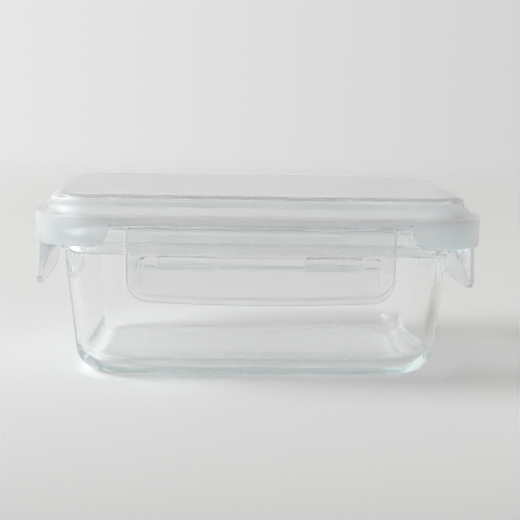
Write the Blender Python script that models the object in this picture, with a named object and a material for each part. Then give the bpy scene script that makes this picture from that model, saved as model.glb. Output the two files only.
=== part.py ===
"""Clip-lock food container: glass bowl, clear snap lid, silicone seal ring,
and four snap latches that hang from the lid on thin hinge webs.

Frame: origin at the centre of the base, +X along the length, +Y to the back,
+Z up.  Lengths below are in millimetres and are scaled to metres when the
meshes are made.  "Inset" is the distance inward from the outline of the lid.
"""
import math

import bmesh
import bpy
from mathutils import Matrix, Vector

MM = 0.001

# ---- outline of the lid, seen from above
HALF_X = 95.0            # half length
HALF_Y = 70.0            # half depth
CORNER_R = 26.0          # plan radius of the lid's corners
CORNER_SEGS = 7

# ---- glass bowl
FLANGE_INSET = 4.5       # outer face of the glass flange
FLANGE_TOP_Z = 66.5      # top of the rim
FLANGE_LOW_Z = 60.2      # lower corner of the flange
WALL_TOP_INSET = 11.7    # where the flange's underside meets the wall
WALL_TOP_Z = 54.6
WALL_TAPER = math.radians(5.7)
WALL_THICK = 4.0
BASE_THICK = 5.0
BASE_FILLET = 19.0       # outside radius between the wall and the base
WALL_CORNER_R = 20.5     # plan radius of the wall's corners
FILLET_SEGS = 5

# ---- lid
PLATEAU_Z = 79.5
LEDGE_Z = 74.6           # small step half way up the plateau's side
SHELF_Z = 71.5
FRAME_BOTTOM_Z = 67.9    # lower edge of the frame above the latches
LID_THICK = 1.9
FRAME_THICK = 2.1
RIB_OUTER_INSET = 8.4    # inner rib of the seal groove
RIB_INNER_INSET = 10.2
RIB_BOTTOM_Z = 66.9
GROOVE_TOP_Z = 69.7
SKIRT_BOTTOM_Z = 59.0
SKIRT_END_X = 62.7       # free end of a corner skirt, long sides
SKIRT_END_Y = 44.0       # the same, short sides
SKIRT_END_R = 7.5        # rounding of the skirt's lower corner

# ---- seal ring
SEAL_OUTER_INSET = 2.6
SEAL_INNER_INSET = 7.9
SEAL_BOTTOM_Z = 66.8
SEAL_TOP_Z = 69.4

# ---- hinge webs: two bend lines, one under the frame and one over the latch
WEB_INSET = 0.3          # middle plane of the web, both bend lines
WEB_THICK = 0.4
WEB_AXIS_Z = 67.65       # upper bend line
LATCH_AXIS_Z = 66.8      # lower bend line
WEB_END_GAP = 0.05       # from a bend line to the end of the web
WEB_SHORTER = 1.0        # the web stops this far inside the latch's ends

# ---- latches
LATCH_TOP_Z = 66.5
LATCH_THICK = 1.8
LATCH_FLARE = 0.9        # how far the finger lip leans out
HOOK_TOP_Z = 57.0        # top of the hook, under the flange
RECESS_TOP_Z = 55.4      # top edge of the finger recess
RECESS_DEPTH = 3.9
TOOTH_DEPTH = 4.6
TOOTH_LOW_Z = 50.6
DRAFT = 2.4              # width of the recess's sloping side walls
RECESS_CORNER = 3.5      # rounding of the recess's upper corners
# half width, bottom z, corner radius, recess half width at top, flare of that
# half width per mm down, bottom of the recess, tooth span from centre
LONG_LATCH = dict(w=55.8, zb=35.2, r=10.0, ht=50.4, grow=0.11, zr=39.0,
                  t0=18.7, t1=42.5, bow=1.1)
SHORT_LATCH = dict(w=39.5, zb=36.6, r=8.5, ht=34.3, grow=0.10, zr=40.4,
                   t0=10.5, t1=28.5, bow=0.7)


def clear_scene():
    for obj in list(bpy.data.objects):
        bpy.data.objects.remove(obj, do_unlink=True)


def make_material(name, colour, roughness, metallic=0.0, alpha=1.0, ior=1.5,
                  transmission=0.0):
    mat = bpy.data.materials.new(name)
    mat.use_nodes = True
    bsdf = mat.node_tree.nodes["Principled BSDF"]
    bsdf.inputs["Base Color"].default_value = (*colour, 1.0)
    bsdf.inputs["Roughness"].default_value = roughness
    bsdf.inputs["Metallic"].default_value = metallic
    bsdf.inputs["Alpha"].default_value = alpha
    bsdf.inputs["IOR"].default_value = ior
    bsdf.inputs["Transmission Weight"].default_value = transmission
    mat.diffuse_color = (*colour, alpha)
    return mat


def add_object(name, bm, material, origin=(0.0, 0.0, 0.0), smooth_deg=40.0):
    """Write a bmesh given in millimetres to an object with its origin there."""
    bmesh.ops.remove_doubles(bm, verts=bm.verts, dist=1e-5)
    bmesh.ops.recalc_face_normals(bm, faces=bm.faces)
    bmesh.ops.translate(bm, verts=bm.verts, vec=-Vector(origin))
    bmesh.ops.scale(bm, verts=bm.verts, vec=(MM, MM, MM))
    mesh = bpy.data.meshes.new(name)
    bm.to_mesh(mesh)
    bm.free()
    mesh.shade_smooth()
    mesh.set_sharp_from_angle(angle=math.radians(smooth_deg))
    mesh.materials.append(material)
    obj = bpy.data.objects.new(name, mesh)
    obj.location = Vector(origin) * MM
    bpy.context.scene.collection.objects.link(obj)
    return obj


# ---------------------------------------------------------------- outlines
def rounded_rect(hx, hy, r, segs=CORNER_SEGS):
    """Counter-clockwise points of a rounded rectangle, corner by corner."""
    pts = []
    for k, (sx, sy) in enumerate(((1, 1), (-1, 1), (-1, -1), (1, -1))):
        cx, cy = sx * (hx - r), sy * (hy - r)
        for i in range(segs + 1):
            a = math.pi / 2 * (k + i / segs)
            pts.append((cx + r * math.cos(a), cy + r * math.sin(a)))
    return pts


def lid_stations():
    """Points and outward normals round the lid's outline, with each point's
    distance from the nearest free end of its corner skirt (None between
    skirts is not needed: every station lies on a skirt)."""
    quarter = []
    run_y = (HALF_Y - CORNER_R) - SKIRT_END_Y      # straight on the short side
    run_x = (HALF_X - CORNER_R) - SKIRT_END_X      # straight on the long side
    arc = CORNER_R * math.pi / 2
    total = run_y + arc + run_x
    ends = (0.0, 0.5, 1.8, 3.8, SKIRT_END_R)
    marks = set(ends) | {total - e for e in ends}
    for i in range(CORNER_SEGS + 1):
        m = run_y + arc * i / CORNER_SEGS
        if SKIRT_END_R + 1.5 < m < total - SKIRT_END_R - 0.5:
            marks.add(m)
    for m in sorted(marks):
        if m < run_y:
            p, n = (HALF_X, SKIRT_END_Y + m), (1.0, 0.0)
        elif m < run_y + arc:
            a = (m - run_y) / CORNER_R
            n = (math.cos(a), math.sin(a))
            p = (HALF_X - CORNER_R + CORNER_R * n[0],
                 HALF_Y - CORNER_R + CORNER_R * n[1])
        else:
            p, n = (HALF_X - CORNER_R - (m - run_y - arc), HALF_Y), (0.0, 1.0)
        quarter.append((p, n, min(m, total - m)))
    out = []
    for sx, sy in ((1, 1), (-1, 1), (-1, -1), (1, -1)):
        row = [((p[0] * sx, p[1] * sy), (n[0] * sx, n[1] * sy), e)
               for p, n, e in quarter]
        out += row if sx * sy > 0 else row[::-1]
    return out


def ring(bm, pts, z):
    return [bm.verts.new((x, y, z)) for x, y in pts]


def bridge(bm, a, b):
    n = len(a)
    faces = []
    for i in range(n):
        j = (i + 1) % n
        faces.append(bm.faces.new((a[i], a[j], b[j], b[i])))
    return faces


# ---------------------------------------------------------------- the bowl
def bowl_section():
    """(inset, z, plan corner radius) from the base's edge, up the outside,
    over the rim and down the inside to the floor's edge."""
    tan = math.tan(WALL_TAPER)

    def wall(inset_top, z_top, r, z0):
        """Arc from base level z0 up to the wall through (inset_top, z_top)."""
        # centre of the arc: distance r from the wall's line and r above z0
        cz = z0 + r
        line_inset = inset_top + (z_top - cz) * tan
        cx = line_inset + r / math.cos(WALL_TAPER)
        pts = []
        for i in range(FILLET_SEGS + 1):
            a = -math.pi / 2 - (math.pi / 2 - WALL_TAPER) * i / FILLET_SEGS
            pts.append((cx + r * math.cos(a), cz + r * math.sin(a)))
        return pts

    outer = wall(WALL_TOP_INSET, WALL_TOP_Z, BASE_FILLET, 0.0)
    inner_r = BASE_FILLET - WALL_THICK - 0.5
    t = WALL_THICK / math.cos(WALL_TAPER)
    inner = wall(WALL_TOP_INSET + t, WALL_TOP_Z, inner_r, BASE_THICK)
    low_out = outer[-1][0]
    low_in = inner[-1][0]
    sec = [(d, z, max(WALL_CORNER_R - (d - low_out) * 0.92, 3.0))
           for d, z in outer]
    sec += [(WALL_TOP_INSET, WALL_TOP_Z, WALL_CORNER_R - 1.5),
            (FLANGE_INSET + 0.7, FLANGE_LOW_Z - 0.3, CORNER_R - FLANGE_INSET - 0.7),
            (FLANGE_INSET, FLANGE_LOW_Z + 0.4, CORNER_R - FLANGE_INSET),
            (FLANGE_INSET, FLANGE_TOP_Z - 1.0, CORNER_R - FLANGE_INSET),
            (FLANGE_INSET + 0.9, FLANGE_TOP_Z, CORNER_R - FLANGE_INSET - 0.9)]
    top_in = WALL_TOP_INSET + t - (FLANGE_TOP_Z - WALL_TOP_Z) * tan
    sec += [(top_in - 1.3, FLANGE_TOP_Z, WALL_CORNER_R - 4.6),
            (top_in + 0.05, FLANGE_TOP_Z - 1.4, WALL_CORNER_R - 5.3)]
    sec += [(d, z, max(WALL_CORNER_R - 4.0 - (d - low_in) * 0.92, 3.0))
            for d, z in reversed(inner)]
    return sec


def build_bowl(material):
    bm = bmesh.new()
    rings = []
    for d, z, r in bowl_section():
        rings.append(ring(bm, rounded_rect(HALF_X - d, HALF_Y - d, r), z))
    for a, b in zip(rings, rings[1:]):
        bridge(bm, a, b)
    bm.faces.new(rings[0])
    bm.faces.new(rings[-1])
    return add_object("glass_bowl", bm, material)


# ---------------------------------------------------------------- the lid
def lid_section():
    """(inset, z) from the frame's lower outer edge, over the top to the edge
    of the plateau; then the underside back to the frame's lower inner edge."""
    over = [(0.0, FRAME_BOTTOM_Z), (0.0, SHELF_Z - 1.1), (0.35, SHELF_Z - 0.3),
            (1.1, SHELF_Z), (4.9, SHELF_Z + 0.1), (5.6, SHELF_Z + 0.8),
            (6.9, LEDGE_Z - 0.2), (7.9, LEDGE_Z), (8.1, PLATEAU_Z - 0.7),
            (8.8, PLATEAU_Z)]
    under = [(RIB_INNER_INSET + 0.8, PLATEAU_Z - LID_THICK),
             (RIB_INNER_INSET, PLATEAU_Z - LID_THICK - 0.8),
             (RIB_INNER_INSET, RIB_BOTTOM_Z + 0.3),
             (RIB_INNER_INSET - 0.3, RIB_BOTTOM_Z),
             (RIB_OUTER_INSET, RIB_BOTTOM_Z),
             (RIB_OUTER_INSET, GROOVE_TOP_Z + 1.4),
             (RIB_OUTER_INSET - 1.8, GROOVE_TOP_Z),
             (FRAME_THICK, GROOVE_TOP_Z),
             (FRAME_THICK, FRAME_BOTTOM_Z)]
    return over, under


def skirt_low(e):
    """Lower edge of a corner skirt at distance e from its free end."""
    if e >= SKIRT_END_R:
        return SKIRT_BOTTOM_Z
    k = SKIRT_END_R - e
    return SKIRT_BOTTOM_Z + SKIRT_END_R - math.sqrt(SKIRT_END_R ** 2 - k ** 2)


def build_lid(material):
    bm = bmesh.new()
    st = lid_stations()
    over, under = lid_section()

    def loop(d, z):
        return [bm.verts.new((p[0] - d * n[0], p[1] - d * n[1], z))
                for p, n, _ in st]

    rings = [loop(d, z) for d, z in over]
    under_rings = [loop(d, z) for d, z in under]
    for a, b in zip(rings, rings[1:]):
        bridge(bm, a, b)
    for a, b in zip(under_rings, under_rings[1:]):
        bridge(bm, a, b)
    bm.faces.new(rings[-1])          # plateau, top
    bm.faces.new(under_rings[0])     # plateau, underside
    # lower edge of the frame: plain between the skirts, drawn down at corners
    outer, inner = rings[0], under_rings[-1]
    n = len(st)
    per = n // 4
    low_out = [bm.verts.new((v.co.x, v.co.y, skirt_low(st[i][2])))
               for i, v in enumerate(outer)]
    low_in = [bm.verts.new((v.co.x, v.co.y, skirt_low(st[i][2])))
              for i, v in enumerate(inner)]
    for i in range(n):
        j = (i + 1) % n
        if i // per == j // per and j != 0:      # both on one corner skirt
            bm.faces.new((outer[i], outer[j], low_out[j], low_out[i]))
            bm.faces.new((inner[i], inner[j], low_in[j], low_in[i]))
            bm.faces.new((low_out[i], low_out[j], low_in[j], low_in[i]))
        else:
            bm.faces.new((outer[i], outer[j], inner[j], inner[i]))
            for k in (i, j):                     # free ends of two skirts
                bm.faces.new((outer[k], inner[k], low_in[k], low_out[k]))
    return add_object("lid_shell", bm, material, (0.0, 0.0, FRAME_BOTTOM_Z))


def build_seal(material):
    bm = bmesh.new()
    sec = [(SEAL_OUTER_INSET + 1.2, SEAL_BOTTOM_Z + 0.6),
           (SEAL_OUTER_INSET + 2.6, SEAL_BOTTOM_Z),
           (SEAL_INNER_INSET - 0.9, SEAL_BOTTOM_Z),
           (SEAL_INNER_INSET, SEAL_BOTTOM_Z + 0.8),
           (SEAL_INNER_INSET, SEAL_TOP_Z - 0.2),
           (SEAL_INNER_INSET - 0.6, SEAL_TOP_Z),
           (SEAL_OUTER_INSET + 0.6, SEAL_TOP_Z),
           (SEAL_OUTER_INSET, SEAL_TOP_Z - 0.6),
           (SEAL_OUTER_INSET, SEAL_BOTTOM_Z + 1.6)]
    rings = [ring(bm, rounded_rect(HALF_X - d, HALF_Y - d, CORNER_R - d), z)
             for d, z in sec]
    for a, b in zip(rings, rings[1:] + rings[:1]):
        bridge(bm, a, b)
    return add_object("seal_gasket", bm, material,
                      (0.0, 0.0, SEAL_BOTTOM_Z))


# ------------------------------------------------------- webs and latches
def place(obj, side, axis_z):
    """Put a piece made for the front side on one of the four sides.  Its own
    +Y points inward, and its origin is on its bend line."""
    turn = {"front": 0.0, "right": 90.0, "back": 180.0, "left": -90.0}[side]
    half = HALF_Y if side in ("front", "back") else HALF_X
    spot = Vector((0.0, -(half - WEB_INSET), axis_z)) * MM
    rot = Matrix.Rotation(math.radians(turn), 4, "Z")
    obj.location = rot @ spot
    obj.rotation_euler = (0.0, 0.0, math.radians(turn))
    return obj


def build_web(side, spec, material):
    bm = bmesh.new()
    half = spec["w"] - WEB_SHORTER
    top = -WEB_END_GAP
    low = LATCH_AXIS_Z - WEB_AXIS_Z + WEB_END_GAP
    bmesh.ops.create_cube(bm, size=1.0)
    bmesh.ops.scale(bm, verts=bm.verts, vec=(2 * half, WEB_THICK, top - low))
    bmesh.ops.translate(bm, verts=bm.verts, vec=(0.0, 0.0, (top + low) / 2))
    return place(add_object("hinge_web_" + side, bm, material), side,
                 WEB_AXIS_Z)


def recess_half(spec, z, top):
    """Half width of the recess at height z, its upper corners rounded."""
    half = spec["ht"] + (top - z) * spec["grow"]
    k = RECESS_CORNER - (top - z)
    if k > 0.0:
        half -= RECESS_CORNER - math.sqrt(max(RECESS_CORNER ** 2 - k * k, 0.0))
    return half


def lip_flare(spec, z):
    top = spec["zb"] + 15.0
    return -LATCH_FLARE * min(max((top - z) / 15.0, 0.0), 1.0) ** 1.5


def latch_outer(spec, x, z):
    """Inset of the latch's outer face."""
    face = lip_flare(spec, z)
    if z >= RECESS_TOP_Z or z <= spec["zr"]:
        return face
    half = recess_half(spec, z, RECESS_TOP_Z)
    side = min(max((half - abs(x)) / DRAFT, 0.0), 1.0)
    depth = RECESS_DEPTH * (z - spec["zr"]) / (RECESS_TOP_Z - spec["zr"])
    if z >= TOOTH_LOW_Z and spec["t0"] <= abs(x) <= spec["t1"]:
        depth = TOOTH_DEPTH
    return face + depth * side


def latch_inner(spec, x, z):
    """Inset of the latch's inner face, one wall thickness behind."""
    face = lip_flare(spec, z) + LATCH_THICK
    low = spec["zr"] - 1.6
    if z >= HOOK_TOP_Z or z <= low:
        return face
    half = recess_half(spec, z, HOOK_TOP_Z) + 1.4
    side = min(max((half - abs(x)) / DRAFT, 0.0), 1.0)
    depth = min(RECESS_DEPTH,
                RECESS_DEPTH * (z - low) / (RECESS_TOP_Z - 0.8 - low))
    if z >= TOOTH_LOW_Z - 1.0 and spec["t0"] - 1.2 <= abs(x) <= spec["t1"] + 1.2:
        depth = TOOTH_DEPTH - 0.2
    return face + depth * side


def latch_bottom(spec, x):
    """Height of the latch's lower edge, with its rounded corners."""
    flat = spec["zb"] + spec["bow"] * (x / (spec["w"] - spec["r"])) ** 2
    over = abs(x) - (spec["w"] - spec["r"])
    if over <= 0.0:
        return flat
    over = min(over, spec["r"])
    base = spec["zb"] + spec["bow"]
    return base + spec["r"] - math.sqrt(max(spec["r"] ** 2 - over ** 2, 0.0))


def latch_grid(spec, face, x_marks, z_marks, low_rows):
    """Rows of (x, inset, z) points: level rows down to the start of the
    rounded corners, then rows that ease into the lower edge."""
    z_low = spec["zb"] + spec["bow"] + spec["r"]
    rows = []
    for z in z_marks:
        rows.append([(x, face(spec, x, z), z) for x in x_marks])
    for k in range(1, low_rows + 1):
        row = []
        for x in x_marks:
            z = z_low + (latch_bottom(spec, x) - z_low) * k / low_rows
            row.append((x, face(spec, x, z), z))
        rows.append(row)
    return rows


def latch_marks(spec):
    eps = 0.05
    w, r = spec["w"], spec["r"]
    xs = {0.0}
    for q in (0.0, 0.03, 0.13, 0.3, 0.55):
        xs.add(w - r * q)
    edge = spec["ht"] + (RECESS_TOP_Z - 46.0) * spec["grow"]
    for v in (spec["t0"] - 1.2, spec["t0"] - 1.2 + eps, spec["t0"] - eps,
              spec["t0"], spec["t1"], spec["t1"] + eps, spec["t1"] + 1.2,
              spec["t1"] + 1.2 + eps):
        xs.add(v)
    xs |= {spec["ht"] - RECESS_CORNER, edge - DRAFT, edge, edge + 1.4}
    xs = sorted(xs)
    xs = [xs[0]] + [b for a, b in zip(xs, xs[1:]) if b - a > 0.03]
    xs = [-x for x in reversed(xs) if x > 0] + xs
    z_low = spec["zb"] + spec["bow"] + spec["r"]
    zs = [LATCH_TOP_Z, HOOK_TOP_Z + 0.02, HOOK_TOP_Z - 0.25, RECESS_TOP_Z + 0.02,
          RECESS_TOP_Z - 0.25, RECESS_TOP_Z - 1.2, RECESS_TOP_Z - RECESS_CORNER,
          TOOTH_LOW_Z + 0.2, TOOTH_LOW_Z - 0.02,
          TOOTH_LOW_Z - 1.02, TOOTH_LOW_Z - 1.25, z_low]
    return xs, sorted(set(zs), reverse=True)


def build_latch(side, spec, material):
    xs, zs = latch_marks(spec)
    front = latch_grid(spec, latch_outer, xs, zs, 4)
    back = latch_grid(spec, latch_inner, xs, zs, 4)
    bm = bmesh.new()

    def verts(rows):
        return [[bm.verts.new((x, d - WEB_INSET, z - LATCH_AXIS_Z))
                 for x, d, z in row] for row in rows]

    f, b = verts(front), verts(back)
    nr, nc = len(f), len(f[0])
    for r in range(nr - 1):
        for c in range(nc - 1):
            bm.faces.new((f[r][c], f[r][c + 1], f[r + 1][c + 1], f[r + 1][c]))
            bm.faces.new((b[r][c], b[r + 1][c], b[r + 1][c + 1], b[r][c + 1]))
    for c in range(nc - 1):
        bm.faces.new((f[0][c], b[0][c], b[0][c + 1], f[0][c + 1]))
        bm.faces.new((f[-1][c], f[-1][c + 1], b[-1][c + 1], b[-1][c]))
    for r in range(nr - 1):
        bm.faces.new((f[r][0], f[r + 1][0], b[r + 1][0], b[r][0]))
        bm.faces.new((f[r][-1], b[r][-1], b[r + 1][-1], f[r + 1][-1]))
    # flat strips need no inner points: keep only what shapes the piece
    bmesh.ops.remove_doubles(bm, verts=bm.verts, dist=1e-5)
    bmesh.ops.dissolve_limit(bm, angle_limit=math.radians(0.2),
                             verts=bm.verts, edges=bm.edges)
    bmesh.ops.triangulate(bm, faces=bm.faces)
    return place(add_object("latch_" + side, bm, material, smooth_deg=25.0),
                 side, LATCH_AXIS_Z)


def main():
    clear_scene()
    glass = make_material("clear_glass", (0.86, 0.94, 0.92), 0.03, ior=1.5,
                          transmission=1.0)
    lid_plastic = make_material("clear_lid_plastic", (0.93, 0.95, 0.96), 0.16,
                                ior=1.5, transmission=0.9)
    latch_plastic = make_material("clear_latch_plastic", (0.92, 0.94, 0.95),
                                  0.2, ior=1.5, transmission=0.9)
    silicone = make_material("clear_silicone", (0.9, 0.91, 0.91), 0.45,
                             ior=1.41, transmission=0.6)
    build_bowl(glass)
    build_lid(lid_plastic)
    build_seal(silicone)
    for side in ("front", "back", "left", "right"):
        spec = LONG_LATCH if side in ("front", "back") else SHORT_LATCH
        build_web(side, spec, latch_plastic)
        build_latch(side, spec, latch_plastic)


main()
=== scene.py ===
"""Clip-lock glass food container: looks, stage, light and camera.

Lengths in the builders below are millimetres in the row frame: origin at the
centre of the base, +X along the length, +Y to the back, +Z up.  "Inset" is
the distance inward from the outline of the lid.
"""
import math

import bmesh
import bpy
from mathutils import Matrix, Vector


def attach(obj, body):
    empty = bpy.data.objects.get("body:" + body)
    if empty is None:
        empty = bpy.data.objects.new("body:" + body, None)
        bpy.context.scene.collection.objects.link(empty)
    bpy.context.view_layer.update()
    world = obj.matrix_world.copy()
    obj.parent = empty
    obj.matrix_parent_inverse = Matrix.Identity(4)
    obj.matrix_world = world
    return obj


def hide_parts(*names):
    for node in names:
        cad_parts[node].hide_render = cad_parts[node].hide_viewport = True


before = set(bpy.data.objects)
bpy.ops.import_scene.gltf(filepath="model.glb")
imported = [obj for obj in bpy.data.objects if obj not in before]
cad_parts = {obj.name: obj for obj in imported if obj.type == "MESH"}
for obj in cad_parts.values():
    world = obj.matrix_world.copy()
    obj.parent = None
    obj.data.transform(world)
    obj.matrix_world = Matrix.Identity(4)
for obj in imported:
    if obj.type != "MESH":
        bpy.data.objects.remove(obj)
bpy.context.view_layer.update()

MM = 0.001
SIDES = ("front", "back", "left", "right")

# ---- the object's own sizes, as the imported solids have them
HALF_X, HALF_Y, CORNER_R = 95.0, 70.0, 26.0
FLANGE_INSET, FLANGE_TOP_Z, FLANGE_LOW_Z = 4.5, 66.5, 60.2
WALL_TOP_INSET, WALL_TOP_Z, WALL_TAPER = 11.7, 54.6, math.radians(5.7)
WALL_THICK, BASE_THICK, BASE_FILLET, WALL_CORNER_R = 4.0, 5.0, 19.0, 20.5
PLATEAU_Z, LEDGE_Z, SHELF_Z, FRAME_BOTTOM_Z = 79.5, 74.6, 71.5, 67.9
LID_THICK, FRAME_THICK = 1.9, 2.1
RIB_OUTER_INSET, RIB_INNER_INSET, RIB_BOTTOM_Z = 8.4, 10.2, 66.9
GROOVE_TOP_Z, SKIRT_BOTTOM_Z = 69.7, 59.0
SKIRT_END_X, SKIRT_END_Y, SKIRT_END_R = 62.7, 44.0, 7.5
SEAL_OUTER_INSET, SEAL_INNER_INSET = 2.6, 7.9
SEAL_BOTTOM_Z, SEAL_TOP_Z = 66.8, 69.4
WEB_INSET, WEB_THICK, WEB_AXIS_Z, LATCH_AXIS_Z = 0.3, 0.4, 67.65, 66.8
LATCH_TOP_Z, LATCH_THICK, LATCH_FLARE = 66.5, 1.8, 0.9
HOOK_TOP_Z, RECESS_TOP_Z, RECESS_DEPTH = 57.0, 55.4, 3.9
TOOTH_DEPTH, TOOTH_LOW_Z, DRAFT, RECESS_CORNER = 4.6, 50.6, 2.4, 3.5
LONG_LATCH = dict(w=55.8, zb=35.2, r=10.0, ht=50.4, grow=0.11, zr=39.0,
                  t0=18.7, t1=42.5, bow=1.1)
SHORT_LATCH = dict(w=39.5, zb=36.6, r=8.5, ht=34.3, grow=0.10, zr=40.4,
                   t0=10.5, t1=28.5, bow=0.7)


# ------------------------------------------------------------ mesh helpers
def make_object(name, bm, smooth_deg=35.0, merge=1e-4):
    """A bmesh in millimetres becomes a smooth-shaded object in metres."""
    bmesh.ops.remove_doubles(bm, verts=bm.verts, dist=merge)
    bmesh.ops.recalc_face_normals(bm, faces=bm.faces)
    if bm.calc_volume(signed=True) < 0.0:
        bmesh.ops.reverse_faces(bm, faces=bm.faces)
    bmesh.ops.scale(bm, verts=bm.verts, vec=(MM, MM, MM))
    mesh = bpy.data.meshes.new(name)
    bm.to_mesh(mesh)
    bm.free()
    mesh.shade_smooth()
    mesh.set_sharp_from_angle(angle=math.radians(smooth_deg))
    obj = bpy.data.objects.new(name, mesh)
    bpy.context.scene.collection.objects.link(obj)
    return obj


def rounded_rect(hx, hy, r, segs):
    pts = []
    for k, (sx, sy) in enumerate(((1, 1), (-1, 1), (-1, -1), (1, -1))):
        cx, cy = sx * (hx - r), sy * (hy - r)
        for i in range(segs + 1):
            a = math.pi / 2 * (k + i / segs)
            pts.append((cx + r * math.cos(a), cy + r * math.sin(a)))
    return pts


def rounded_path(pts, closed=False):
    """pts: (inset, z, edge radius, segments, extra).  Each inner vertex is
    rounded with its radius; extra runs linearly along the path."""
    out = []
    n = len(pts)
    for i, (d, z, rad, segs, ext) in enumerate(pts):
        if (not closed and i in (0, n - 1)) or rad <= 0.0:
            out.append((d, z, ext))
            continue
        p = Vector((d, z))
        a = pts[i - 1]
        b = pts[(i + 1) % n]
        va, vb = Vector(a[:2]) - p, Vector(b[:2]) - p
        la, lb = va.length, vb.length
        va.normalize()
        vb.normalize()
        half = math.acos(max(-1.0, min(1.0, va.dot(vb)))) / 2
        reach = min(rad / math.tan(half), la * 0.499, lb * 0.499)
        r = reach * math.tan(half)
        centre = p + (va + vb).normalized() * (r / math.sin(half))
        s, e = p + va * reach, p + vb * reach
        es = ext + (a[4] - ext) * reach / la
        ee = ext + (b[4] - ext) * reach / lb
        a0 = math.atan2(s.y - centre.y, s.x - centre.x)
        a1 = math.atan2(e.y - centre.y, e.x - centre.x)
        turn = (a1 - a0 + math.pi) % (2 * math.pi) - math.pi
        for k in range(segs + 1):
            t = k / segs
            q = a0 + turn * t
            out.append((centre.x + r * math.cos(q), centre.y + r * math.sin(q),
                        es + (ee - es) * t))
    return out


def bridge(bm, a, b):
    n = len(a)
    for i in range(n):
        j = (i + 1) % n
        bm.faces.new((a[i], a[j], b[j], b[i]))


def smooth01(t):
    t = min(max(t, 0.0), 1.0)
    return t * t * (3.0 - 2.0 * t)


# -------------------------------------------------------------- the bowl
def build_bowl():
    """Pressed glass: soft edges everywhere, thick base, flanged rim."""
    tan = math.tan(WALL_TAPER)
    t = WALL_THICK / math.cos(WALL_TAPER)
    foot_out = WALL_TOP_INSET + WALL_TOP_Z * tan
    foot_in = WALL_TOP_INSET + t + (WALL_TOP_Z - BASE_THICK) * tan
    top_in = WALL_TOP_INSET + t - (FLANGE_TOP_Z - WALL_TOP_Z) * tan
    rw = WALL_CORNER_R
    pts = [
        (foot_out + 24.0, 0.0, 0.0, 0, 4.0),
        (foot_out + 20.5, 0.0, 0.0, 0, 6.0),
        (foot_out, 0.0, BASE_FILLET, 26, rw + 1.0),
        (WALL_TOP_INSET, WALL_TOP_Z, 2.2, 6, rw - 1.5),
        (FLANGE_INSET + 0.15, FLANGE_LOW_Z - 0.35, 2.0, 9, CORNER_R - FLANGE_INSET - 0.3),
        (FLANGE_INSET, FLANGE_TOP_Z, 2.9, 14, CORNER_R - FLANGE_INSET),
        (top_in, FLANGE_TOP_Z, 1.7, 8, rw - 4.8),
        (foot_in, BASE_THICK, BASE_FILLET - WALL_THICK - 0.5, 24, rw - 3.0),
        (foot_in + 17.0, BASE_THICK, 0.0, 0, 5.0),
        (foot_in + 20.0, BASE_THICK, 0.0, 0, 3.6),
    ]
    bm = bmesh.new()
    rings = []
    for d, z, r in rounded_path(pts):
        rings.append([bm.verts.new((x, y, z)) for x, y in
                      rounded_rect(HALF_X - d, HALF_Y - d, max(r, 3.0), 22)])
    for a, b in zip(rings, rings[1:]):
        bridge(bm, a, b)
    bm.faces.new(rings[0])
    bm.faces.new(rings[-1])
    return make_object("bowl_glass", bm, 60.0)


# --------------------------------------------------------------- the lid
NOTCH_W, NOTCH_TOP = 2.1, 70.0     # relief notch beside each skirt end


def lower_edge(e):
    """Height of the frame's lower edge at distance e past a skirt's free end
    (e below 0 is beside the skirt, towards the latch)."""
    if e >= SKIRT_END_R:
        return SKIRT_BOTTOM_Z
    if e > 0.0:
        k = SKIRT_END_R - e
        return SKIRT_BOTTOM_Z + SKIRT_END_R - math.sqrt(
            max(SKIRT_END_R ** 2 - k ** 2, 0.0))
    if e > -NOTCH_W:
        r = NOTCH_W / 2
        k = e + r
        return NOTCH_TOP - r + math.sqrt(max(r * r - k * k, 0.0))
    return FRAME_BOTTOM_Z


def lid_stations():
    """(point, outward normal, e) once round the lid, counter-clockwise."""
    run_y = (HALF_Y - CORNER_R) - SKIRT_END_Y
    run_x = (HALF_X - CORNER_R) - SKIRT_END_X
    arc = CORNER_R * math.pi / 2
    total = run_y + arc + run_x
    r = NOTCH_W / 2
    near = [-NOTCH_W - 8.0, -NOTCH_W - 2.0, -NOTCH_W - 0.6, -NOTCH_W - 0.12,
            -NOTCH_W - 0.02]
    near += [-r - r * math.cos(math.pi * k / 12) for k in range(13)]
    near += [SKIRT_END_R * (1 - math.cos(math.pi / 2 * k / 12)) for k in range(1, 13)]
    near[-12 - 13] -= 0.0
    marks = set()
    for e in near:
        marks.add(round(e, 5))
        marks.add(round(total - e, 5))
    for i in range(25):
        m = run_y + arc * i / 24
        if SKIRT_END_R + 0.3 < m < total - SKIRT_END_R - 0.3:
            marks.add(round(m, 5))
    quarter = []
    for m in sorted(marks):
        if m < run_y:
            p, n = (HALF_X, SKIRT_END_Y + m), (1.0, 0.0)
        elif m < run_y + arc:
            a = (m - run_y) / CORNER_R
            n = (math.cos(a), math.sin(a))
            p = (HALF_X - CORNER_R + CORNER_R * n[0],
                 HALF_Y - CORNER_R + CORNER_R * n[1])
        else:
            p, n = (HALF_X - CORNER_R - (m - run_y - arc), HALF_Y), (0.0, 1.0)
        quarter.append((p, n, min(m, total - m)))
    out = []
    for sx, sy in ((1, 1), (-1, 1), (-1, -1), (1, -1)):
        row = [((p[0] * sx, p[1] * sy), (n[0] * sx, n[1] * sy), e)
               for p, n, e in quarter]
        out += row if sx * sy > 0 else row[::-1]
    return out


PLATEAU_BOW = 2.0          # the plateau's short sides are slightly bowed


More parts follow.
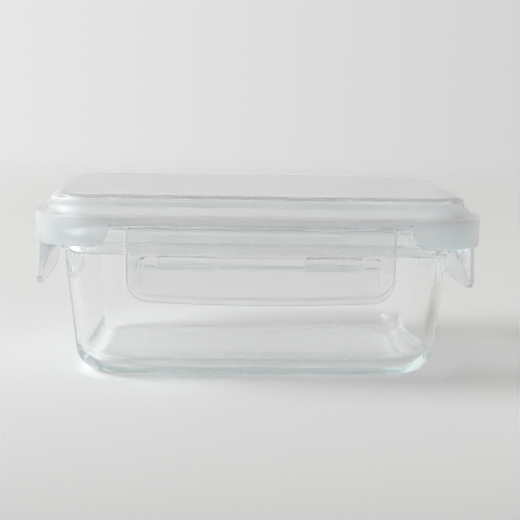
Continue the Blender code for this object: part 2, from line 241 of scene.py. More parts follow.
def build_lid():
    """One moulding: domed top with a side ledge, shelf, frame, four corner
    skirts, and the two ribs that hold the seal."""
    st = lid_stations()
    T, B = FRAME_THICK, FRAME_BOTTOM_Z
    # from the frame's outer face, over the top, to the middle of the plateau
    over = rounded_path([
        (0.0, SHELF_Z - 1.9, 0.0, 0, 0),
        (0.0, SHELF_Z, 1.25, 10, 0),
        (5.0, SHELF_Z + 0.1, 1.4, 7, 0),
        (6.9, LEDGE_Z - 0.1, 0.5, 5, 0),
        (7.95, LEDGE_Z + 0.05, 0.35, 4, 0),
        (7.75, PLATEAU_Z - 2.0, 1.8, 8, 0),
        (10.2, PLATEAU_Z, 4.5, 12, 0),
        (14.0, PLATEAU_Z, 0.0, 0, 0),
        (15.0, PLATEAU_Z, 0.0, 0, 0)])
    # from the plateau's underside back to the frame's inner face
    under = rounded_path([
        (15.0, PLATEAU_Z - LID_THICK, 0.0, 0, 0),
        (12.5, PLATEAU_Z - LID_THICK, 0.0, 0, 0),
        (RIB_INNER_INSET, PLATEAU_Z - LID_THICK, 0.6, 6, 0),
        (RIB_INNER_INSET, RIB_BOTTOM_Z, 0.5, 4, 0),
        (RIB_OUTER_INSET, RIB_BOTTOM_Z, 0.5, 4, 0),
        (RIB_OUTER_INSET, GROOVE_TOP_Z + 1.4, 0.6, 4, 0),
        (RIB_OUTER_INSET - 1.8, GROOVE_TOP_Z, 0.6, 4, 0),
        (T, GROOVE_TOP_Z, 0.25, 3, 0),
        (T, GROOVE_TOP_Z - 0.2, 0.0, 0, 0)])
    bm = bmesh.new()

    def loop(d, z, bow=0.0):
        """A ring at inset d.  bow swells the two short sides outwards."""
        row = []
        for p, n, _ in st:
            swell = bow * abs(n[0]) * max(0.0, 1.0 - (p[1] / HALF_Y) ** 2)
            row.append(bm.verts.new((p[0] - (d - swell) * n[0],
                                     p[1] - (d - swell) * n[1], z)))
        return row

    rings = [loop(d, z, PLATEAU_BOW * smooth01((d - 3.2) / 2.6))
             for d, z, _ in over]
    low = [loop(d, z) for d, z, _ in under]
    for a, b in zip(rings, rings[1:]):
        bridge(bm, a, b)
    for a, b in zip(low, low[1:]):
        bridge(bm, a, b)
    bm.faces.new(rings[-1])
    bm.faces.new(low[0])
    # the hanging edge: both faces come down to the lower edge and round over
    edge_r = 0.45
    prof = [(0.0, 1.0)]
    for k in range(1, 6):
        a = math.pi / 2 * k / 5
        prof.append((edge_r * (1 - math.cos(a)) / T, 1.0 - math.sin(a)))
    prof += [(1.0 - f, h) for f, h in reversed(prof)]
    foot = []
    for f, h in prof:
        row = []
        for i, (p, n, e) in enumerate(st):
            z = lower_edge(e) + h * edge_r
            z = min(z, (SHELF_Z - 1.95) if f < 0.5 else GROOVE_TOP_Z - 0.25)
            row.append(bm.verts.new((p[0] - f * T * n[0], p[1] - f * T * n[1], z)))
        foot.append(row)
    bridge(bm, rings[0], foot[0])
    for a, b in zip(foot, foot[1:]):
        bridge(bm, a, b)
    bridge(bm, foot[-1], low[-1])
    return make_object("lid_cover", bm, 50.0)


def build_seal():
    """Hollow-lipped silicone ring pressed into the lid's groove."""
    pts = rounded_path([
        (SEAL_OUTER_INSET, SEAL_TOP_Z, 0.6, 5, 0),
        (SEAL_OUTER_INSET, SEAL_BOTTOM_Z + 1.3, 0.5, 4, 0),
        (SEAL_OUTER_INSET + 1.3, SEAL_BOTTOM_Z + 0.5, 0.5, 4, 0),
        (SEAL_OUTER_INSET + 2.3, SEAL_BOTTOM_Z, 0.6, 5, 0),
        (SEAL_INNER_INSET - 1.0, SEAL_BOTTOM_Z, 0.5, 4, 0),
        (SEAL_INNER_INSET, SEAL_BOTTOM_Z + 0.9, 0.5, 4, 0),
        (SEAL_INNER_INSET, SEAL_TOP_Z, 0.6, 5, 0)], closed=True)
    bm = bmesh.new()
    rings = [[bm.verts.new((x, y, z)) for x, y in
              rounded_rect(HALF_X - d, HALF_Y - d, CORNER_R - d, 22)]
             for d, z, _ in pts]
    for a, b in zip(rings, rings[1:] + rings[:1]):
        bridge(bm, a, b)
    return make_object("seal_ring", bm, 60.0)


# ------------------------------------------------------ hinges and latches
def turn_side(bm, side):
    angle = {"front": 0.0, "right": 90.0, "back": 180.0, "left": -90.0}[side]
    half = HALF_Y if side in ("front", "back") else HALF_X
    bmesh.ops.transform(
        bm, matrix=Matrix.Rotation(math.radians(angle), 4, "Z")
        @ Matrix.Translation((0.0, -half, 0.0)), verts=bm.verts)


def build_web(side, spec):
    """The thin living hinge: a strip that necks in at its two bend lines."""
    half = spec["w"] - 1.0
    top, low = WEB_AXIS_Z + 0.19, LATCH_AXIS_Z - 0.19
    mid = (top + low) / 2
    sec = []
    n = 10
    for k in range(n + 1):                       # outer face, top to bottom
        z = top + (low - top) * k / n
        t = abs(z - mid) / ((top - low) / 2)
        sec.append((WEB_INSET - WEB_THICK / 2 * (1.0 - 0.75 * t ** 4), z))
    for k in range(n, -1, -1):
        z = top + (low - top) * k / n
        t = abs(z - mid) / ((top - low) / 2)
        sec.append((WEB_INSET + WEB_THICK / 2 * (1.0 - 0.75 * t ** 4), z))
    bm = bmesh.new()
    xs = [-half, -half + 0.15] + [half * (k / 6.0 - 1.0) for k in range(1, 12)] \
        + [half - 0.15, half]
    rows = []
    for x in xs:
        shrink = 0.6 if abs(x) == half else 1.0
        rows.append([bm.verts.new((x, WEB_INSET + (d - WEB_INSET) * shrink,
                                   mid + (z - mid) * (0.9 if abs(x) == half else 1.0)))
                     for d, z in sec])
    for a, b in zip(rows, rows[1:]):
        bridge(bm, a, b)
    bm.faces.new(rows[0])
    bm.faces.new(rows[-1])
    turn_side(bm, side)
    return make_object("hinge_strip_" + side, bm, 50.0)


def recess_half(spec, z, top, corner=RECESS_CORNER):
    half = spec["ht"] + (top - z) * spec["grow"]
    k = corner - (top - z)
    if k > 0.0:
        half -= corner - math.sqrt(max(corner ** 2 - k * k, 0.0))
    return half


def lip_flare(spec, z):
    top = spec["zb"] + 15.0
    return -LATCH_FLARE * min(max((top - z) / 15.0, 0.0), 1.0) ** 1.5


def ramp(t, ease=0.24):
    """0 to 1 as a straight slope with a rounded start and finish."""
    t = min(max(t, 0.0), 1.0)
    k = 1.0 / (1.0 - ease)
    if t < ease:
        return k * t * t / (2.0 * ease)
    if t > 1.0 - ease:
        return 1.0 - k * (1.0 - t) ** 2 / (2.0 * ease)
    return k * (t - ease / 2.0)


ROOF_RUN, SIDE_RUN = 5.6, 3.4      # how far the recess takes to reach its depth


def pocket(spec, x, z, top, wider):
    """Depth of the finger recess at a point: sloping roof and sides, a floor
    that runs out to the lip, and two low teeth filling the roof's corner."""
    low = spec["zr"]
    if z >= top or z <= low:
        return 0.0
    half = recess_half(spec, z, top) + 0.4 + wider
    side = ramp((half - abs(x)) / SIDE_RUN)
    floor = RECESS_DEPTH * (z - low) / (RECESS_TOP_Z - low)
    depth = floor * ramp((top - z) / ROOF_RUN, 0.3)
    tooth = (ramp((abs(x) - spec["t0"] + 1.2) / 2.4)
             * ramp((spec["t1"] + 1.2 - abs(x)) / 2.4)
             * ramp((z - TOOTH_LOW_Z + 1.1 + wider) / 2.4))
    full = min(depth + 1.1 * ramp((top - z) / 4.4), RECESS_DEPTH - 0.2)
    return side * (depth + (full - depth) * tooth)


def lip_bead(spec, x, z):
    """The grip edge along the bottom is a little thicker than the plate."""
    return ramp((latch_bottom(spec, x) + 3.0 - z) / 0.9)


def latch_outer(spec, x, z):
    return (lip_flare(spec, z) - 0.12 * lip_bead(spec, x, z)
            + pocket(spec, x, z, RECESS_TOP_Z, 0.0))


def latch_inner(spec, x, z):
    return (lip_flare(spec, z) + LATCH_THICK + 0.35 * lip_bead(spec, x, z)
            + pocket(spec, x, z, RECESS_TOP_Z + 0.8, 0.8))


def latch_bottom(spec, x):
    flat = spec["zb"] + spec["bow"] * (x / (spec["w"] - spec["r"])) ** 2
    over = abs(x) - (spec["w"] - spec["r"])
    if over <= 0.0:
        return flat
    over = min(over, spec["r"])
    base = spec["zb"] + spec["bow"]
    return base + spec["r"] - math.sqrt(max(spec["r"] ** 2 - over ** 2, 0.0))


def spread(marks, step):
    """Sorted marks with even points added wherever they are far apart."""
    marks = sorted(marks)
    out = [marks[0]]
    for b in marks[1:]:
        a = out[-1]
        if b - a < 0.05:
            continue
        n = max(1, int(math.ceil((b - a) / step)))
        out += [a + (b - a) * k / n for k in range(1, n + 1)]
    return out


def build_latch(side, spec):
    """Moulded snap latch.  A dense grid on both faces, and a rounded rim."""
    w, r = spec["w"], spec["r"]
    xm = {0.0, w}
    for q in range(1, 13):
        xm.add(w - r * (1 - math.cos(math.pi / 2 * q / 12)))
    for t in (spec["t0"], spec["t1"]):
        for k in range(-9, 10):
            xm.add(t + k * 0.16)
    half = spread(xm, 1.25)
    # fine columns across the recess's sloping sides
    lo = spec["ht"] - RECESS_CORNER - SIDE_RUN - 0.2
    hi = spec["ht"] + 18.0 * spec["grow"] + 1.4
    half = sorted(set(half) | {lo + (hi - lo) * k / 34 for k in range(35)})
    edge = 0.42                          # radius of the rounded rim
    half = [half[0]] + [b for a, b in zip(half, half[1:])
                        if b - a > 0.05 and b < w - edge - 0.06]
    half.append(w - edge)
    xs = [-x for x in reversed(half) if x > 0] + half
    z_low = spec["zb"] + spec["bow"] + r
    zm = {LATCH_TOP_Z - edge, z_low}

    def bottom_in(x):
        """The lower outline, moved in by the rim's radius."""
        over = abs(x) - (w - r)
        if over <= 0.0:
            return latch_bottom(spec, x) + edge
        over = min(over, r - edge)
        return (spec["zb"] + spec["bow"] + r
                - math.sqrt(max((r - edge) ** 2 - over ** 2, 0.0)))

    for k in range(34):                  # fine rows down the recess's roof
        zm.add(RECESS_TOP_Z + 0.9 - k * 0.24)
    for k in range(-5, 6):
        zm.add(TOOTH_LOW_Z - 0.5 + k * 0.2)
    zs = sorted(spread(zm, 1.3), reverse=True)
    low_rows = 16

    def grid(face):
        rows = [[(x, face(spec, x, z), z) for x in xs] for z in zs]
        for k in range(1, low_rows + 1):
            row = []
            for x in xs:
                z = z_low + (bottom_in(x) - z_low) * k / low_rows
                row.append((x, face(spec, x, z), z))
            rows.append(row)
        return rows

    front, back = grid(latch_outer), grid(latch_inner)
    nr, nc = len(front), len(front[0])
    bm = bmesh.new()

    def border():
        idx = [(0, j) for j in range(nc)]
        idx += [(i, nc - 1) for i in range(1, nr)]
        idx += [(nr - 1, j) for j in range(nc - 2, -1, -1)]
        idx += [(i, 0) for i in range(nr - 2, 0, -1)]
        return idx

    idx = border()
    # inward direction in the x-z plane at each border point
    m = len(idx)
    inward = []
    pos = [Vector((front[i][j][0], front[i][j][2])) for i, j in idx]
    for k in range(m):
        a, c = pos[k - 1], pos[(k + 1) % m]
        t = (c - a)
        if t.length < 1e-9:
            inward.append(Vector((0.0, 0.0)))
            continue
        t.normalize()
        inward.append(Vector((t.y, -t.x)))
    # orientation check: the border runs clockwise seen from outside or not
    area = sum(pos[k].x * pos[(k + 1) % m].y - pos[(k + 1) % m].x * pos[k].y
               for k in range(m))
    if area > 0:
        inward = [-v for v in inward]
    # points that share a place have no direction of their own
    for k in range(1, m):
        if inward[k].length < 0.5:
            inward[k] = inward[k - 1].copy()
    fv = [[bm.verts.new((x, d, z)) for x, d, z in row] for row in front]
    bv = [[bm.verts.new((x, d, z)) for x, d, z in row] for row in back]
    for i in range(nr - 1):
        for j in range(nc - 1):
            bm.faces.new((fv[i][j], fv[i][j + 1], fv[i + 1][j + 1], fv[i + 1][j]))
            bm.faces.new((bv[i][j], bv[i + 1][j], bv[i + 1][j + 1], bv[i][j + 1]))
    # the faces stop short of the outline by edge, and a rounded rim joins them
    steps = 6
    rim = []
    for k, (i, j) in enumerate(idx):
        pf, pb = Vector(front[i][j]), Vector(back[i][j])
        out = Vector((-inward[k].x, 0.0, -inward[k].y))
        col = [fv[i][j]]
        e = min(edge, (pb.y - pf.y) * 0.45)
        for s in range(1, steps):
            a = math.pi / 2 * s / steps
            col.append(bm.verts.new(pf + out * (edge * math.sin(a))
                                    + Vector((0, e * (1 - math.cos(a)), 0))))
        for s in range(steps - 1, 0, -1):
            a = math.pi / 2 * s / steps
            col.append(bm.verts.new(pb + out * (edge * math.sin(a))
                                    - Vector((0, e * (1 - math.cos(a)), 0))))
        col.append(bv[i][j])
        rim.append(col)
    for k in range(m):
        a, c = rim[k], rim[(k + 1) % m]
        for s in range(len(a) - 1):
            bm.faces.new((a[s], a[s + 1], c[s + 1], c[s]))
    turn_side(bm, side)
    return make_object("snap_latch_" + side, bm, 38.0, merge=1e-5)


# -------------------------------------------------------------- materials
def new_material(name):
    mat = bpy.data.materials.new(name)
    mat.use_nodes = True
    nt = mat.node_tree
    return mat, nt, nt.nodes["Principled BSDF"], nt.nodes["Material Output"]


def add(nt, kind, **values):
    node = nt.nodes.new(kind)
    for k, v in values.items():
        if k in node.inputs:
            node.inputs[k].default_value = v
        else:
            setattr(node, k, v)
    return node


def absorb(nt, out, per_metre):
    """Plain absorption inside the piece, in 1/m for red, green and blue."""
    top = max(per_metre)
    vol = nt.nodes.new("ShaderNodeVolumeAbsorption")
    vol.inputs["Color"].default_value = (*[1.0 - v / top for v in per_metre], 1.0)
    vol.inputs["Density"].default_value = top
    nt.links.new(vol.outputs[0], out.inputs["Volume"])


def ramp_range(nt, source, low, high):
    node = nt.nodes.new("ShaderNodeMapRange")
    node.inputs["To Min"].default_value = low
    node.inputs["To Max"].default_value = high
    nt.links.new(source, node.inputs["Value"])
    return node.outputs["Result"]


def glass_material():
    mat, nt, p, out = new_material("pressed_glass")
    p.inputs["IOR"].default_value = 1.50
    p.inputs["Transmission Weight"].default_value = 1.0
    co = add(nt, "ShaderNodeTexCoord")
    # the flange and rim above the flange's underside are tinted darker and greener: partly
    # the glass's own colour in the thick rim, partly painted shade for the darker flange
    # band
    sep = add(nt, "ShaderNodeSeparateXYZ")
    nt.links.new(co.outputs["Object"], sep.inputs[0])
    edge = add(nt, "ShaderNodeMapRange", interpolation_type="SMOOTHSTEP")
    edge.inputs["From Min"].default_value = (FLANGE_LOW_Z - 0.7) * MM
    edge.inputs["From Max"].default_value = (FLANGE_LOW_Z + 0.3) * MM
    nt.links.new(sep.outputs["Z"], edge.inputs["Value"])
    tone = add(nt, "ShaderNodeMix", data_type="RGBA")
    tone.inputs[6].default_value = (0.998, 1.0, 0.999, 1)
    tone.inputs[7].default_value = (0.905, 0.944, 0.952, 1)
    nt.links.new(edge.outputs["Result"], tone.inputs[0])
    nt.links.new(tone.outputs[2], p.inputs["Base Color"])
    # fire-polished skin: a long faint swell from the mould, and fine seed
    swell = add(nt, "ShaderNodeTexNoise", Scale=38.0, Detail=2.0, Roughness=0.4)
    nt.links.new(co.outputs["Object"], swell.inputs["Vector"])
    bump = add(nt, "ShaderNodeBump", Strength=0.03, Distance=0.0006)
    nt.links.new(swell.outputs["Fac"], bump.inputs["Height"])
    nt.links.new(bump.outputs["Normal"], p.inputs["Normal"])
    haze = add(nt, "ShaderNodeTexNoise", Scale=140.0, Detail=4.0, Roughness=0.6)
    nt.links.new(co.outputs["Object"], haze.inputs["Vector"])
    nt.links.new(ramp_range(nt, haze.outputs["Fac"], 0.0, 0.02),
                 p.inputs["Roughness"])
    absorb(nt, out, (0.95, 0.34, 0.30))
    return mat


def plastic_material(name, milky, rough, per_metre, bump_strength, rim=None,
                     recess_shade=None, ends=None):
    """Clear moulded plastic, a little milky, with a faint orange-peel skin.
    rim: (z low, z high, milky, rough) makes the part below z low frosted.
    recess_shade: (z low, z high) in mm: painted shade, the recess roof between these
    heights and the recess's sloping side walls tinted darker and bluer.
    ends: (x near, x far, milky, rough), frosted beyond x far either way."""
    mat, nt, p, out = new_material(name)
    p.inputs["IOR"].default_value = 1.49
    co = add(nt, "ShaderNodeTexCoord")
    flow = add(nt, "ShaderNodeTexNoise", Scale=22.0, Detail=3.0, Roughness=0.5)
    nt.links.new(co.outputs["Object"], flow.inputs["Vector"])
    mix = add(nt, "ShaderNodeMix", data_type="RGBA")
    mix.inputs[6].default_value = (0.980, 0.985, 0.992, 1)
    mix.inputs[7].default_value = (0.992, 0.995, 0.999, 1)
    nt.links.new(flow.outputs["Fac"], mix.inputs[0])
    colour = mix.outputs[2]
    # painted shade: the finger recess's roof and sloping side walls are tinted darker and
    # bluer to stand for the shade inside the recess
    if recess_shade:
        where = add(nt, "ShaderNodeSeparateXYZ")
        nt.links.new(co.outputs["Object"], where.inputs[0])
        share = None
        for low_z, high_z in ((recess_shade[0] - 0.3, recess_shade[0] + 0.3),
                              (recess_shade[1] + 0.5, recess_shade[1] - 0.5)):
            step = add(nt, "ShaderNodeMapRange", interpolation_type="SMOOTHSTEP")
            step.inputs["From Min"].default_value = low_z * MM
            step.inputs["From Max"].default_value = high_z * MM
            nt.links.new(where.outputs["Z"], step.inputs["Value"])
            if share is None:
                share = step.outputs["Result"]
            else:
                both = add(nt, "ShaderNodeMath", operation="MULTIPLY")
                nt.links.new(share, both.inputs[0])
                nt.links.new(step.outputs["Result"], both.inputs[1])
                share = both.outputs[0]
        # the sloping side walls lie along |x| = 51.2 mm + 0.11 x the drop, and get the
        # same painted shade
        across = add(nt, "ShaderNodeMath", operation="ABSOLUTE")
        nt.links.new(where.outputs["X"], across.inputs[0])
        lean = add(nt, "ShaderNodeMath", operation="MULTIPLY_ADD")
        nt.links.new(where.outputs["Z"], lean.inputs[0])
        lean.inputs[1].default_value = 0.11
        nt.links.new(across.outputs[0], lean.inputs[2])
        middle = (50.4 - 1.3 + 0.11 * RECESS_TOP_Z) * MM
        off = add(nt, "ShaderNodeMath", operation="SUBTRACT")
        nt.links.new(lean.outputs[0], off.inputs[0])
        off.inputs[1].default_value = middle
        near = add(nt, "ShaderNodeMath", operation="ABSOLUTE")
        nt.links.new(off.outputs[0], near.inputs[0])
        wall = add(nt, "ShaderNodeMapRange", interpolation_type="SMOOTHSTEP")
        wall.inputs["From Min"].default_value = 1.6 * MM
        wall.inputs["From Max"].default_value = 0.6 * MM
        nt.links.new(near.outputs[0], wall.inputs["Value"])
        for low_z, high_z in ((41.5, 43.5), (RECESS_TOP_Z - 1.2, RECESS_TOP_Z - 2.4)):
            step = add(nt, "ShaderNodeMapRange", interpolation_type="SMOOTHSTEP")
            step.inputs["From Min"].default_value = low_z * MM
            step.inputs["From Max"].default_value = high_z * MM
            nt.links.new(where.outputs["Z"], step.inputs["Value"])
            both = add(nt, "ShaderNodeMath", operation="MULTIPLY")
            nt.links.new(wall.outputs[0], both.inputs[0])
            nt.links.new(step.outputs["Result"], both.inputs[1])
            wall = both
        most = add(nt, "ShaderNodeMath", operation="MAXIMUM")
        nt.links.new(share, most.inputs[0])
        nt.links.new(wall.outputs[0], most.inputs[1])
        share = most.outputs[0]
        # the painted shade colour for the recess roof and side walls
        painted_shade = add(nt, "ShaderNodeMix", data_type="RGBA")
        nt.links.new(share, painted_shade.inputs[0])
        nt.links.new(colour, painted_shade.inputs[6])
        painted_shade.inputs[7].default_value = (0.945, 0.950, 0.968, 1)
        colour = painted_shade.outputs[2]
    nt.links.new(colour, p.inputs["Base Color"])
    clear = ramp_range(nt, flow.outputs["Fac"], 1.0 - milky * 1.25,
                       1.0 - milky * 0.75)
    peel = add(nt, "ShaderNodeTexNoise", Scale=420.0, Detail=2.0, Roughness=0.5)
    nt.links.new(co.outputs["Object"], peel.inputs["Vector"])
    bump = add(nt, "ShaderNodeBump", Strength=bump_strength, Distance=0.0002)
    nt.links.new(peel.outputs["Fac"], bump.inputs["Height"])
    nt.links.new(bump.outputs["Normal"], p.inputs["Normal"])
    gloss = ramp_range(nt, peel.outputs["Fac"], rough * 0.7, rough * 1.3)
    if rim:
        sep = add(nt, "ShaderNodeSeparateXYZ")
        nt.links.new(co.outputs["Object"], sep.inputs[0])
        low = add(nt, "ShaderNodeMapRange", interpolation_type="SMOOTHSTEP")
        low.inputs["From Min"].default_value = rim[1]
        low.inputs["From Max"].default_value = rim[0]
        nt.links.new(sep.outputs["Z"], low.inputs["Value"])
        for value, frosted in ((clear, 1.0 - rim[2]), (gloss, rim[3])):
            blend = add(nt, "ShaderNodeMix", data_type="FLOAT")
            nt.links.new(low.outputs["Result"], blend.inputs[0])
            nt.links.new(value, blend.inputs[2])
            blend.inputs[3].default_value = frosted
            if value == clear:
                clear_out = blend.outputs[0]
            else:
                gloss_out = blend.outputs[0]
        clear, gloss = clear_out, gloss_out
    if ends:
        side = add(nt, "ShaderNodeSeparateXYZ")
        nt.links.new(co.outputs["Object"], side.inputs[0])
        away = add(nt, "ShaderNodeMath", operation="ABSOLUTE")
        nt.links.new(side.outputs["X"], away.inputs[0])
        out_there = add(nt, "ShaderNodeMapRange", interpolation_type="SMOOTHSTEP")
        out_there.inputs["From Min"].default_value = ends[0]
        out_there.inputs["From Max"].default_value = ends[1]
        nt.links.new(away.outputs[0], out_there.inputs["Value"])
        made = []
        for value, frosted in ((clear, 1.0 - ends[2]), (gloss, ends[3])):
            blend = add(nt, "ShaderNodeMix", data_type="FLOAT")
            nt.links.new(out_there.outputs["Result"], blend.inputs[0])
            nt.links.new(value, blend.inputs[2])
            blend.inputs[3].default_value = frosted
            made.append(blend.outputs[0])
        clear, gloss = made

        # the moulded side edges are the haziest part of each latch
        def span(value, start, stop):
            n = add(nt, "ShaderNodeMapRange", interpolation_type="SMOOTHSTEP")
            n.inputs["From Min"].default_value = start * MM
            n.inputs["From Max"].default_value = stop * MM
            nt.links.new(value, n.inputs["Value"])
            return n.outputs["Result"]

        def pair(operation, a, b):
            n = add(nt, "ShaderNodeMath", operation=operation)
            nt.links.new(a, n.inputs[0])
            nt.links.new(b, n.inputs[1])
            return n.outputs[0]

        x = away.outputs[0]
        deep = add(nt, "ShaderNodeMath", operation="ABSOLUTE")
        nt.links.new(side.outputs["Y"], deep.inputs[0])
        edge = pair("MAXIMUM",
                    pair("MULTIPLY", span(x, LONG_LATCH["w"] - 1.3, LONG_LATCH["w"] - 0.4),
                         span(x, 60.0, 58.0)),
                    pair("MULTIPLY", span(deep.outputs[0], SHORT_LATCH["w"] - 1.3,
                                          SHORT_LATCH["w"] - 0.4),
                         span(x, 80.0, 82.0)))
        made = []
        for value, frosted in ((clear, 0.35), (gloss, 0.42)):
            blend = add(nt, "ShaderNodeMix", data_type="FLOAT")
            nt.links.new(edge, blend.inputs[0])
            nt.links.new(value, blend.inputs[2])
            blend.inputs[3].default_value = frosted
            made.append(blend.outputs[0])
        clear, gloss = made
    nt.links.new(clear, p.inputs["Transmission Weight"])
    nt.links.new(gloss, p.inputs["Roughness"])
    absorb(nt, out, per_metre)
    return mat


def silicone_material():
    mat, nt, p, out = new_material("translucent_silicone")
    p.inputs["IOR"].default_value = 1.41
    co = add(nt, "ShaderNodeTexCoord")
    bloom = add(nt, "ShaderNodeTexNoise", Scale=90.0, Detail=4.0, Roughness=0.6)
    nt.links.new(co.outputs["Object"], bloom.inputs["Vector"])
    mix = add(nt, "ShaderNodeMix", data_type="RGBA")
    mix.inputs[6].default_value = (0.88, 0.89, 0.91, 1)
    mix.inputs[7].default_value = (0.93, 0.94, 0.96, 1)
    nt.links.new(bloom.outputs["Fac"], mix.inputs[0])
    nt.links.new(mix.outputs[2], p.inputs["Base Color"])
    nt.links.new(ramp_range(nt, bloom.outputs["Fac"], 0.42, 0.56),
                 p.inputs["Roughness"])
    p.inputs["Transmission Weight"].default_value = 0.5
    bump = add(nt, "ShaderNodeBump", Strength=0.1, Distance=0.0002)
    nt.links.new(bloom.outputs["Fac"], bump.inputs["Height"])
    nt.links.new(bump.outputs["Normal"], p.inputs["Normal"])
    return mat


# ------------------------------------------------------------- the pieces
def dress(obj, mat, body, node):
    obj.data.materials.append(mat)
    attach(obj, body)
    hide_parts(node)
    return obj


glass = glass_material()
lid_plastic = plastic_material("lid_clear_plastic", 0.16, 0.17,
                               (0.8, 0.6, 0.5), 0.006,
                               (0.0766, 0.0792, 0.22, 0.30))
# the latches carry painted shade in their finger recesses
latch_plastic = plastic_material("latch_clear_plastic", 0.11, 0.11,
                                 (0.8, 0.6, 0.5), 0.004,
                                 recess_shade=(RECESS_TOP_Z - 6.3, RECESS_TOP_Z - 2.4),
                                 ends=(0.0545, 0.0560, 0.27, 0.26))
silicone = silicone_material()

dress(build_bowl(), glass, "bowl", "glass_bowl")
dress(build_lid(), lid_plastic, "lid", "lid_shell")
dress(build_seal(), silicone, "lid", "seal_gasket")
for side in SIDES:
    spec = LONG_LATCH if side in ("front", "back") else SHORT_LATCH
    dress(build_web(side, spec), latch_plastic, "web_" + side,
          "hinge_web_" + side)
    dress(build_latch(side, spec), latch_plastic, "latch_" + side,
          "latch_" + side)


# -------------------------------------------------------------- the stage
def build_floor():
    bm = bmesh.new()
    rings = []
    for r in (0.0, 0.3, 0.7, 1.2, 2.0, 3.2, 5.0, 8.0):
        if r == 0.0:
            centre = bm.verts.new((0, 0, 0))
            continue
        rings.append([bm.verts.new((r * math.cos(a), r * math.sin(a), 0.0))
                      for a in (2 * math.pi * k / 96 for k in range(96))])
    for k in range(96):
        bm.faces.new((centre, rings[0][k], rings[0][(k + 1) % 96]))
    for a, b in zip(rings, rings[1:]):
        bridge(bm, a, b)
    mesh = bpy.data.meshes.new("stage_floor")
    bmesh.ops.recalc_face_normals(bm, faces=bm.faces)
    bm.to_mesh(mesh)
    bm.free()
    obj = bpy.data.objects.new("stage_floor", mesh)
    obj.location = (0.0, 0.0, -0.0002)
    bpy.context.scene.collection.objects.link(obj)
    mat, nt, p, out = new_material("stage_paper")
    co = add(nt, "ShaderNodeTexCoord")
    grain = add(nt, "ShaderNodeTexNoise", Scale=260.0, Detail=5.0, Roughness=0.6)
    nt.links.new(co.outputs["Object"], grain.inputs["Vector"])
    mix = add(nt, "ShaderNodeMix", data_type="RGBA")
    mix.inputs[6].default_value = (0.795, 0.802, 0.806, 1)
    mix.inputs[7].default_value = (0.815, 0.822, 0.826, 1)
    nt.links.new(grain.outputs["Fac"], mix.inputs[0])
    # painted light and shade on the paper: a little lighter to the right and to the back,
    # and painted shade darkening it towards the near side
    sep = add(nt, "ShaderNodeSeparateXYZ")
    nt.links.new(co.outputs["Object"], sep.inputs[0])

    def fma(value, factor, plus):
        n = add(nt, "ShaderNodeMath", operation="MULTIPLY_ADD")
        nt.links.new(value, n.inputs[0])
        n.inputs[1].default_value = factor
        if isinstance(plus, float):
            n.inputs[2].default_value = plus
        else:
            nt.links.new(plus, n.inputs[2])
        return n.outputs[0]

    def limit(value, low, high):
        n = add(nt, "ShaderNodeClamp")
        nt.links.new(value, n.inputs["Value"])
        n.inputs["Min"].default_value = low
        n.inputs["Max"].default_value = high
        return n.outputs["Result"]

    wide = limit(sep.outputs["X"], -0.45, 0.45)
    deep = limit(sep.outputs["Y"], -0.3, 0.3)
    painted_light_tilt = fma(wide, 0.07, fma(deep, 0.04, 1.035))
    # painted shade: the paper darkens steeply towards the near side
    near = add(nt, "ShaderNodeMath", operation="POWER")
    near.inputs[1].default_value = 3.0
    nt.links.new(limit(fma(sep.outputs["Y"], -1.0, -0.02), 0.0, 0.3), near.inputs[0])
    drop = add(nt, "ShaderNodeMath", operation="MULTIPLY")
    nt.links.new(painted_light_tilt, drop.inputs[0])
    nt.links.new(fma(near.outputs[0], -15.0, 1.0), drop.inputs[1])
    tone = add(nt, "ShaderNodeVectorMath", operation="SCALE")
    nt.links.new(mix.outputs[2], tone.inputs[0])
    nt.links.new(drop.outputs[0], tone.inputs["Scale"])
    nt.links.new(tone.outputs["Vector"], p.inputs["Base Color"])
    p.inputs["Roughness"].default_value = 0.75
    p.inputs["Specular IOR Level"].default_value = 0.2
    # far out the paper fades into the backdrop, so that no edge shows
    geo = add(nt, "ShaderNodeVectorMath", operation="LENGTH")
    nt.links.new(co.outputs["Object"], geo.inputs[0])
    fade = add(nt, "ShaderNodeMapRange", interpolation_type="SMOOTHSTEP")
    fade.inputs["From Min"].default_value = 0.45
    fade.inputs["From Max"].default_value = 1.5
    nt.links.new(geo.outputs["Value"], fade.inputs["Value"])
    clear = add(nt, "ShaderNodeBsdfTransparent")
    blend = add(nt, "ShaderNodeMixShader")
    nt.links.new(fade.outputs["Result"], blend.inputs[0])
    nt.links.new(p.outputs[0], blend.inputs[1])
    nt.links.new(clear.outputs[0], blend.inputs[2])
    nt.links.new(blend.outputs[0], out.inputs["Surface"])
    mesh.materials.append(mat)


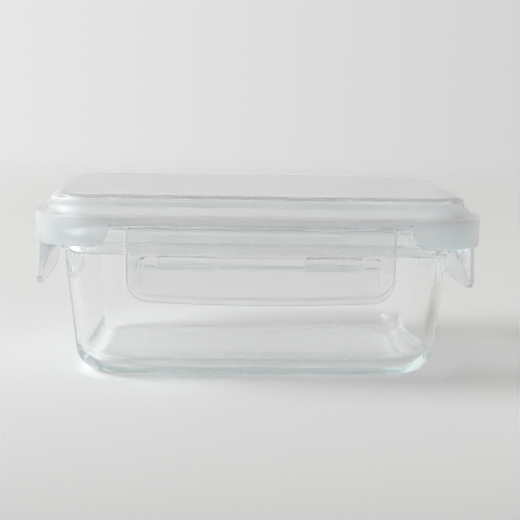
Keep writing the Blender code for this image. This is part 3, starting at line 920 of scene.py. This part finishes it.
def build_world():
    """Soft studio surround: brightest on the left, dimmer to the right and
    in front, with the floor's tone carried below the horizon."""
    world = bpy.data.worlds.new("studio")
    bpy.context.scene.world = world
    world.use_nodes = True
    nt = world.node_tree
    bg = nt.nodes["Background"]
    co = add(nt, "ShaderNodeTexCoord")
    sep = add(nt, "ShaderNodeSeparateXYZ")
    nt.links.new(co.outputs["Generated"], sep.inputs[0])

    def math_node(op, a, b=None, c=None):
        n = add(nt, "ShaderNodeMath", operation=op)
        for i, v in enumerate((a, b, c)):
            if v is None:
                continue
            if isinstance(v, (int, float)):
                n.inputs[i].default_value = v
            else:
                nt.links.new(v, n.inputs[i])
        return n.outputs[0]

    x, y, z = sep.outputs[0], sep.outputs[1], sep.outputs[2]
    # left-right slope, easing off far to either side
    part = math_node("SMOOTH_MIN", math_node("SMOOTH_MAX", x, -0.75, 0.3),
                     0.28, 0.12)
    base = math_node("MULTIPLY_ADD", part, -0.346, 0.748)
    # a little dimmer in front, brighter overhead
    front = math_node("SMOOTH_MAX", math_node("MULTIPLY", y, -1.0), 0.0, 0.3)
    dim = math_node("MULTIPLY_ADD", front, -0.18, 1.0)
    top = add(nt, "ShaderNodeMapRange", interpolation_type="SMOOTHSTEP")
    top.inputs["From Min"].default_value = 0.1
    top.inputs["From Max"].default_value = 0.75
    top.inputs["To Min"].default_value = 1.0
    top.inputs["To Max"].default_value = 0.45
    nt.links.new(z, top.inputs["Value"])
    behind = add(nt, "ShaderNodeMapRange", interpolation_type="SMOOTHSTEP")
    behind.inputs["From Min"].default_value = 0.05
    behind.inputs["From Max"].default_value = 0.7
    nt.links.new(y, behind.inputs["Value"])
    lift = add(nt, "ShaderNodeMix", data_type="FLOAT")
    nt.links.new(behind.outputs["Result"], lift.inputs[0])
    nt.links.new(top.outputs["Result"], lift.inputs[2])
    lift.inputs[3].default_value = 1.0
    level = math_node("MULTIPLY", math_node("MULTIPLY", base, dim),
                      lift.outputs[0])
    nt.links.new(level, bg.inputs["Strength"])
    tint = add(nt, "ShaderNodeMix", data_type="RGBA")
    tint.inputs[6].default_value = (1.0, 0.95, 0.87, 1)
    tint.inputs[7].default_value = (1.0, 1.0, 1.0, 1)
    nt.links.new(math_node("MULTIPLY_ADD", top.outputs["Result"], 1.82, -0.82),
                 tint.inputs[0])
    nt.links.new(tint.outputs[2], bg.inputs["Color"])


def area_light(name, place, target, size_x, size_y, power, colour):
    data = bpy.data.lights.new(name, "AREA")
    data.shape = "RECTANGLE"
    data.size, data.size_y = size_x, size_y
    data.energy = power
    data.color = colour
    obj = bpy.data.objects.new(name, data)
    obj.location = place
    way = Vector(target) - Vector(place)
    obj.rotation_euler = way.to_track_quat("-Z", "Y").to_euler()
    bpy.context.scene.collection.objects.link(obj)
    return obj


build_floor()
build_world()
area_light("key_left", (-2.3, -0.14, 1.5), (0.0, 0.0, 0.03), 1.5, 1.3, 54.0,
           (0.985, 1.02, 1.05))

# -------------------------------------------------------------- the camera
cam_data = bpy.data.cameras.new("camera")
cam = bpy.data.objects.new("camera", cam_data)
bpy.context.scene.collection.objects.link(cam)
yaw, pitch, roll = 0.0522, 0.1451, 0.0188
place = Matrix.Rotation(-yaw, 3, "Z") @ Vector((3.127, -587.41, 129.96)) * MM
turn = (Matrix.Rotation(-yaw, 3, "Z")
        @ Matrix.Rotation(math.pi / 2 - pitch, 3, "X")
        @ Matrix.Rotation(roll, 3, "Z"))
cam.matrix_world = Matrix.Translation(place) @ turn.to_4x4()
cam_data.sensor_width = 36.0
cam_data.lens = 1274.0 / 520.0 * 36.0
cam_data.clip_start = 0.05
cam_data.clip_end = 60.0
bpy.context.scene.camera = cam

scene = bpy.context.scene
scene.view_settings.view_transform = "Standard"
scene.view_settings.look = "None"
scene.view_settings.exposure = 0.0
scene.view_settings.gamma = 1.0
# light runs a long way inside the thick base, so let it
scene.cycles.max_bounces = 96
scene.cycles.transmission_bounces = 96
scene.cycles.glossy_bounces = 96
scene.cycles.diffuse_bounces = 32
scene.cycles.transparent_max_bounces = 16
scene.cycles.blur_glossy = 0.0
scene.cycles.sample_clamp_indirect = 24.0
